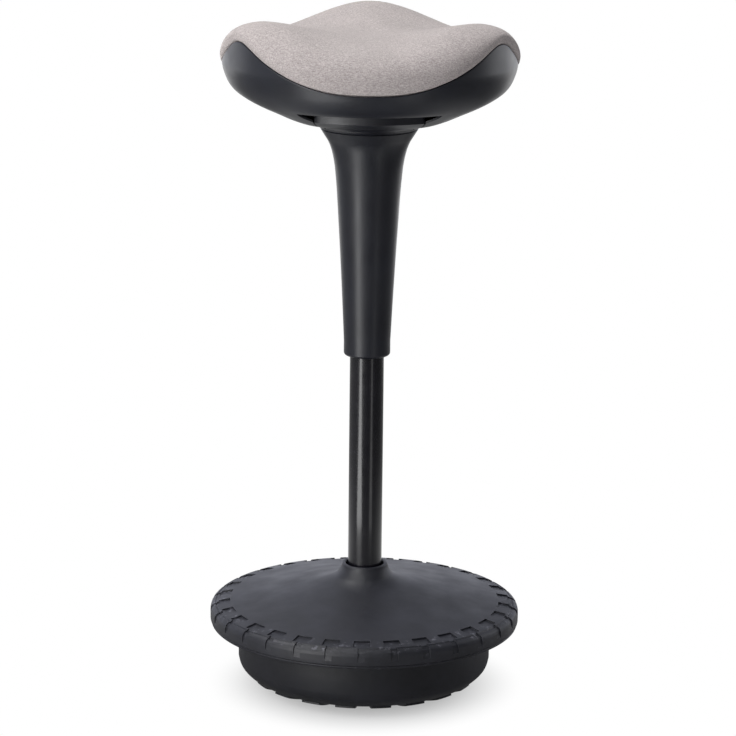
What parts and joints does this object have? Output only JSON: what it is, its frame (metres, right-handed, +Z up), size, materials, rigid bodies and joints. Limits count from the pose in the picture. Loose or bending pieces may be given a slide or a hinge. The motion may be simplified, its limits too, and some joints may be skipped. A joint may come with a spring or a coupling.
{
  "type": "wobble stool",
  "caption": "Height-adjustable wobble stool: lobed saddle seat with grey fabric cushion on a gas lift, over a weighted base with a curved sole that rocks.",
  "frame": {"origin": "bottom centre of the sole, where the stool stands on the floor", "axes": "+Z up the column, -Y to the front where the height paddle is, +X to the right seen from the front"},
  "size_m": [0.368, 0.368, 0.805],
  "materials": {
    "sole_rubber": "matte",
    "boot_rubber": "matte",
    "cast_ballast": "matte",
    "zinc_steel": "satin",
    "bright_steel": "polished",
    "black_enamel": "satin",
    "gloss_black_tube": "gloss",
    "white_nylon": "satin",
    "black_plastic": "satin",
    "birch_ply": "matte",
    "cushion_foam": "matte",
    "grey_fabric": "matte"
  },
  "bodies": {
    "base": {"base_bowl": "sole_rubber", "base_cover": "boot_rubber", "ballast_ring": "cast_ballast", "base_plate": "zinc_steel", "column_socket": "black_enamel", "plate_screw_1": "zinc_steel", "plate_screw_2": "zinc_steel", "plate_screw_3": "zinc_steel", "plate_screw_4": "zinc_steel", "plate_screw_5": "zinc_steel", "plate_screw_6": "zinc_steel", "ballast_bolt_1": "zinc_steel", "ballast_bolt_2": "zinc_steel", "ballast_bolt_3": "zinc_steel", "column_tube": "gloss_black_tube", "guide_bush": "white_nylon", "lower_washer": "bright_steel", "thrust_bearing": "bright_steel"},
    "rod": {"upper_washer": "bright_steel", "lift_bumper": "boot_rubber", "retaining_clip": "zinc_steel", "piston_rod": "bright_steel", "piston": "white_nylon"},
    "seat": {"gas_cylinder": "black_enamel", "rod_gland": "white_nylon", "mount_plate": "black_enamel", "mount_socket": "zinc_steel", "seat_board": "birch_ply", "mount_bolt_1": "zinc_steel", "mount_bolt_2": "zinc_steel", "mount_bolt_3": "zinc_steel", "mount_bolt_4": "zinc_steel", "tee_nut_1": "zinc_steel", "tee_nut_2": "zinc_steel", "tee_nut_3": "zinc_steel", "tee_nut_4": "zinc_steel", "column_sleeve": "black_plastic", "seat_shell": "black_plastic", "pivot_pin": "bright_steel", "pivot_clip": "zinc_steel", "shell_screw_1": "zinc_steel", "shell_screw_2": "zinc_steel", "shell_screw_3": "zinc_steel", "seat_foam": "cushion_foam", "seat_cover": "grey_fabric"},
    "paddle": {"release_paddle": "black_plastic"},
    "valve": {"valve_pin": "bright_steel"}
  },
  "joints": [
    {"name": "swivel", "type": "hinge", "parent": "base", "child": "rod", "pos_m": [0, 0, 0.0352], "axis": [0, 0, 1], "continuous": true},
    {"name": "lift", "type": "slide", "parent": "rod", "child": "seat", "axis": [0, 0, 1], "range_m": [-0.22, 0]},
    {"name": "paddle", "type": "hinge", "parent": "seat", "child": "paddle", "pos_m": [0, -0.04, 0.7009], "axis": [-1, 0, 0], "range_deg": [0, 6], "stiffness_Nm_per_rad": 4},
    {"name": "valve_press", "type": "slide", "parent": "seat", "child": "valve", "axis": [0, 0, -1], "range_m": [0, 0.0045]}
  ],
  "couplings": [
    {"joint": "valve_press", "follows": "paddle", "m_per_rad": 0.04}
  ]
}
